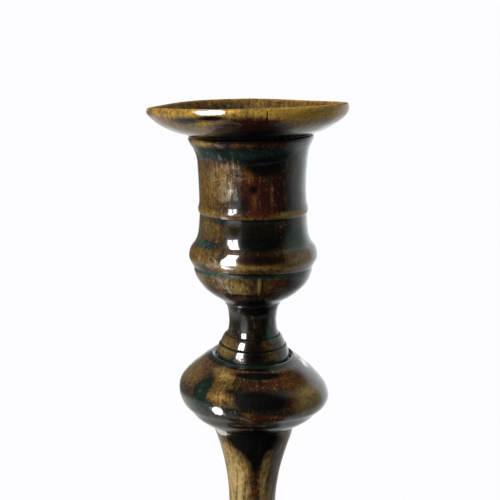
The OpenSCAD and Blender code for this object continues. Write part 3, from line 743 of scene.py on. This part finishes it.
STEM = [
    ("gold", -52, 99, 36, 7, 0.52, 2.0), ("gold", -50, 86, 42, 12, 0.52, 2.0), ("gold", 24, 98, 7, 7, 0.34), ("gold", 45, 80, 28, 14, 0.34),
    # the soot down the middle front of the stem is a painted dark reflection of the dark room in front
    ("soot_and_dark_reflection", 2, 107.4, 50, 2.6, 1.3, 2.0), ("soot_and_dark_reflection", -2, 104.6, 26, 2.4, 0.95), ("soot_and_dark_reflection", 5, 101.5, 15, 3.0, 0.70), ("soot_and_dark_reflection", 4, 92, 10, 10, 0.36), ("red", 4, 94, 12, 10, 0.3), ("gold", 5, 94, 10, 12, -0.25),
    ("soot_and_dark_reflection", 76, 100, 14, 6, 0.3), ("teal", 58, 96, 14, 6, 0.3), ("gold", 40, 101, 16, 5, -0.04), ("soot_and_dark_reflection", 0, 109.9, 180, 0.35, 1.0), ("gold", 0, 109.9, 180, 0.4, -0.7), ("dull", -20, 108.8, 22, 1.6, 1.0), ("dull", 62, 99, 22, 12, 0.60),
    # the shine at the stem's top left and right is a painted reflection of the pale surroundings
    ("shine", -56, 109.1, 16, 1.0, 1.0, 2.0), ("shine", 62, 109.3, 11, 0.6, 0.28), ("dull", 0, 106.6, 46, 2.8, 1.0), ("dull", -34, 102, 16, 6, 1.0),
    ("gold", -36, 106.8, 6, 0.6, 0.5), ("red", -36, 106.8, 8, 0.8, 0.6), ("scratch", -30, 95, 20, 10, 0.35), ("dull", -40, 92, 40, 12, 0.8), ("soot_and_dark_reflection", 0, 57.3, 180, 0.6, 0.5),
]
mat_stem = patina("stem_patina", streak=0.8, lathe=0.04, shift=21.0, gold=(0.42, 0.305, 0.118), olive=(0.150, 0.104, 0.033), flecks=(0.35, 0.9),
                  rough=(0.30, 0.40))
turned("taper_stem", "stem", "stand", stem_line, "lower", mat_stem, STEM, seed=8, step=1.4,
       base=dict(gold=0.42, teal=0.1, red=0.2), skin=outer(5.1), wave=0.04, dings=0.012)

# collar between stem and foot
collar2_line = join(
    straight([(5.0, 57.0), (8.5, 57.0)], 0.9),
    arc((8.8, 56.1), 0.9, 90, -90, 0.16),
    arc((8.8, 51.8), 3.1, 80, -80, 0.18),
    arc((9.4, 47.8), 0.8, 90, -90, 0.16),
    straight([(9.4, 47.0), (5.0, 47.0), (5.0, 57.0)], 1.2))
mat_collar = patina("collar_patina", streak=0.25, lathe=0.2, shift=33.0)
turned("collar_ring", "lower_collar", "stand", collar2_line, "none", mat_collar,
       [("gold", -40, 51.8, 28, 1.8, 0.36), ("gold", 50, 52.5, 22, 1.5, 0.32), ("red", 10, 51, 20, 2, 0.4),
        ("teal", 0, 55.0, 180, 0.4, 0.5), ("teal", 0, 48.6, 180, 0.4, 0.5)],
       seed=9, step=1.3, base=dict(gold=0.24, teal=0.12, red=0.2), skin=outer(5.1), wave=0.03)

# foot
foot_line = join(
    curve([(9.4, 47.0), (9.8, 46.9), (9.95, 46.5), (10.1, 45.2), (11.3, 42.4), (13.8, 39.5), (17.6, 37.0), (22.0, 35.3), (26.6, 34.5)], 0.3),
    arc((28, 33), 1.5, 95, -60, 0.22),
    straight([(28.75, 31.7), (29.4, 31.5)], 0.3),
    curve([(29.5, 31.5), (30.4, 31.3), (34.4, 29.4), (37.8, 25.8), (40.0, 21.0), (40.9, 16.6), (41.1, 14.2), (41.15, 13.4)], 0.34),
    curve([(41.5, 13.2), (42.6, 12.9), (45.0, 12.3), (47.6, 10.8), (49.4, 8.6), (50.4, 6.4), (50.7, 6.0)], 0.3),
    arc((50.2, 2.8), 2.8, 72, -64, 0.28),
    straight([(51.0, 0.12), (50.85, 0.0), (48.75, 0.0)], 0.5),
    curve([(48.6, 0.15), (48.2, 3.0), (46.9, 6.8), (44.2, 9.4), (40.8, 10.8), (39.1, 12.6), (38.7, 16.6), (37.8, 20.2), (35.6, 24.0),
           (32.2, 27.2), (28.6, 29.4), (25.4, 32.0), (21.4, 32.9), (17.0, 34.3), (13.6, 36.4), (11.4, 38.2), (9.4, 38.6)], 0.8),
    straight([(9.2, 38.4), (9.2, 36.0), (5.0, 36.0), (5.0, 47.0), (9.4, 47.0)], 1.2))
FOOT = [
    ("gold", -45, 22, 24, 6, 0.34), ("gold", 50, 24, 20, 6, 0.28), ("gold", 0, 36, 30, 2.0, 0.22), ("gold", -75, 10, 30, 2.5, 0.3),
    ("red", 10, 22, 30, 7, 0.4), ("teal", -20, 28, 18, 3, 0.5), ("teal", 75, 20, 16, 5, 0.5), ("red", 60, 38, 30, 4, 0.35),
    ("teal", 0, 31.4, 180, 0.6, 0.5), ("teal", 0, 13.3, 180, 0.6, 0.5), ("gold", 25, 3.0, 40, 2.0, 0.3),
    ("gold+", 180, 20, 400, 400, 0.42), ("dull+", 180, 20, 400, 400, 1.1), ("pale+", 180, 20, 400, 400, 0.10),
]
foot_inside = int(np.argmin(np.abs(foot_line[:, 0] - 48.6) + np.abs(foot_line[:, 1] - 0.15)))


def foot_skin(P):
    return np.where(np.arange(len(P)) >= foot_inside, 0.0, 1.0) * sstep(P[:, 1], 0.0, 0.6)


mat_foot = patina("foot_patina", streak=0.25, lathe=0.25, shift=44.0)
turned("domed_foot", "foot", "stand", foot_line, "none", mat_foot, FOOT, seed=10, step=1.45,
       base=dict(gold=0.25, teal=0.14, red=0.2), skin=foot_skin, wave=0.10, dings=0.03, inner_after=foot_inside - 1)

# carried-over nodes
iron = plain_metal("browned_iron", (0.05, 0.032, 0.024), (0.11, 0.055, 0.03), 0.52, 0.55, 1.0, 0.03, 0.0, (0.16, 0.06, 0.025))
dull_brass = plain_metal("dull_brass", (0.36, 0.24, 0.09), (0.16, 0.10, 0.04), 0.40, 0.9, 0.9, 0.02, 0.02, (0.035, 0.05, 0.035))
waxed_brass = plain_metal("waxed_brass", (0.30, 0.21, 0.09), (0.20, 0.14, 0.07), 0.36, 0.8, 0.6, 0.03, 0.03, (0.30, 0.27, 0.20))
for node, mat in (("push_rod", iron), ("button_pin", iron), ("foot_washer", iron), ("foot_nut", dull_brass),
                  ("guide_bush", dull_brass), ("push_button", dull_brass), ("ejector_plate", waxed_brass)):
    me = NODES[node].data
    me.materials.clear()
    me.materials.append(mat)


# ---------------------------------------------------------------- floor, world and lights

def make_floor():
    n, rings = 96, 10
    verts = [(0, 0, 0)]
    for j in range(1, rings + 1):
        for i in range(n):
            a = 2 * math.pi * i / n
            verts.append((0.30 * j / rings * math.cos(a), 0.30 * j / rings * math.sin(a), 0))
    faces = [(0, 1 + i, 1 + (i + 1) % n) for i in range(n)]
    for j in range(rings - 1):
        b = 1 + j * n
        faces += [(b + i, b + n + i, b + n + (i + 1) % n, b + (i + 1) % n) for i in range(n)]
    me = bpy.data.meshes.new("floor")
    me.from_pydata(verts, [], faces)
    o = bpy.data.objects.new("floor", me)
    scene.collection.objects.link(o)
    o.location = (0, 0, -0.0002)
    g = Graph("pale_floor")
    tc = g.t.nodes.new("ShaderNodeTexCoord")
    ln = g.t.nodes.new("ShaderNodeVectorMath")
    ln.operation = "LENGTH"
    g.link(tc.outputs["Object"], ln.inputs[0])
    fade = g.step(ln.outputs["Value"], 0.13, 0.29)
    back = g.t.nodes.new("ShaderNodeNewGeometry").outputs["Backfacing"]
    clear = g.math("MAXIMUM", fade, back)
    d = g.t.nodes.new("ShaderNodeBsdfDiffuse")
    grain = g.noise(g.vec("SCALE", tc.outputs["Object"], scale=1000.0), 0.05, 3.0)
    g.put(d.inputs["Color"], g.mix(grain, (0.78, 0.775, 0.79), (0.82, 0.815, 0.83)))
    tr = g.t.nodes.new("ShaderNodeBsdfTransparent")
    mx = g.t.nodes.new("ShaderNodeMixShader")
    g.put(mx.inputs[0], clear)
    g.link(d.outputs[0], mx.inputs[1])
    g.link(tr.outputs[0], mx.inputs[2])
    g.link(mx.outputs[0], g.out.inputs["Surface"])
    me.materials.append(g.mat)
    o.visible_glossy = False
    return o


def make_world():
    w = bpy.data.worlds.new("studio")
    scene.world = w
    w.use_nodes = True
    t = w.node_tree
    t.nodes.clear()
    g = Graph.__new__(Graph)
    g.t = t
    out = t.nodes.new("ShaderNodeOutputWorld")
    tc = t.nodes.new("ShaderNodeTexCoord")
    nrm = g.vec("NORMALIZE", tc.outputs["Generated"])
    sep = t.nodes.new("ShaderNodeSeparateXYZ")
    g.link(nrm, sep.inputs[0])
    x, y, z = sep.outputs
    az = g.mul(g.math("ARCTAN2", x, g.mul(y, -1.0)), 180 / math.pi)
    el = g.mul(g.math("ARCSINE", z), 180 / math.pi)

    def band(v, a, b, s):
        return g.mul(g.step(v, a - s, a + s), g.step(v, b - s, b + s, 1.0, 0.0))

    # bright surroundings at the sides and behind, dimmer below the horizon and overhead
    right = g.step(az, -20, 40)
    col = g.vec("SCALE", g.mix(right, (1.0, 0.98, 0.955), (0.95, 1.0, 1.01)),
                scale=g.mul(g.lerp(right, LEFT_WHITE, RIGHT_WHITE), g.step(el, -42, -10, 0.50, 1.0)))
    col = g.mix(g.step(el, 55, 75), col, (0.17, 0.165, 0.16))
    # dim wall to the left, down to the edge of the pale table
    wall = g.mul(band(az, -166, -52, 9), g.step(el, -24, -12), g.step(el, 50, 70, 1.0, 0.0))
    col = g.mix(g.mul(wall, 0.94), col, (0.105, 0.095, 0.084))
    # dark room in front, wider to the right, and the dark table below it
    room = g.mul(g.step(az, -39, -21), g.step(az, 108, 142, 1.0, 0.0), g.step(az, 62, 112, 1.0, 0.50), g.step(el, -32, -20), g.step(el, 74, 86, 1.0, 0.0))
    table = g.mul(g.step(az, -59, -35), g.step(az, 72, 112, 1.0, 0.0), g.step(el, -26, -18, 1.0, 0.0))
    col = g.mix(g.math("MAXIMUM", room, table), col, (0.014, 0.013, 0.012))
    # pale sill below the windows, and the sunlit end of the table
    sill = g.mul(band(az, -60, -25, 3), band(el, -20, 4, 5), SILL)
    d2 = g.add(g.math("POWER", g.mul(g.math("SUBTRACT", az, -75.0), 1 / 10.0), 2.0),
               g.math("POWER", g.mul(g.math("SUBTRACT", el, -45.0), 1 / 13.0), 2.0))
    glow = g.add(sill, g.mul(g.step(d2, 1.5, 0.5), GLOW))
    col = g.vec("ADD", col, g.vec("SCALE", (0.95, 1.0, 1.12), scale=glow))
    bg1 = t.nodes.new("ShaderNodeBackground")
    g.put(bg1.inputs["Color"], col)
    bg2 = t.nodes.new("ShaderNodeBackground")
    bg2.inputs["Color"].default_value = (0.982, 0.974, 1.0, 1)
    lp = t.nodes.new("ShaderNodeLightPath")
    mx = t.nodes.new("ShaderNodeMixShader")
    g.link(lp.outputs["Is Camera Ray"], mx.inputs[0])
    g.link(bg1.outputs[0], mx.inputs[1])
    g.link(bg2.outputs[0], mx.inputs[2])
    g.link(mx.outputs[0], out.inputs["Surface"])
    w.cycles.sampling_method = "MANUAL"
    w.cycles.sample_map_resolution = 512


LEFT_WHITE, RIGHT_WHITE, SILL, GLOW = 0.95, 1.12, 0.85, 4.5


def window(name, az, el0, el1, width, dist, radiance, colour=(1.0, 1.0, 1.04)):
    el = (el0 + el1) / 2
    d = np.array([math.sin(rad(az)) * math.cos(rad(el)), -math.cos(rad(az)) * math.cos(rad(el)), math.sin(rad(el))])
    c = np.array([0, 0, 0.14])
    L = bpy.data.lights.new(name, "AREA")
    L.shape = "RECTANGLE"
    L.size = 2 * dist * math.tan(rad(width / 2))
    L.size_y = 2 * dist * math.tan(rad((el1 - el0) / 2))
    L.energy = radiance * math.pi * L.size * L.size_y
    L.color = colour
    o = bpy.data.objects.new(name, L)
    scene.collection.objects.link(o)
    o.location = c + d * dist
    from mathutils import Vector
    o.rotation_euler = Vector(-d).to_track_quat("-Z", "Y").to_euler()
    o.visible_camera = False
    return o


make_floor()
make_world()
window("window_a", -48.5, 9, 46, 8.5, 1.6, 26.0)
window("window_b", -37.5, 9, 46, 8.5, 1.6, 26.0)
scene.view_settings.view_transform = "Standard"
scene.view_settings.look = "None"
scene.view_settings.exposure = 0.0
scene.view_settings.gamma = 1.0
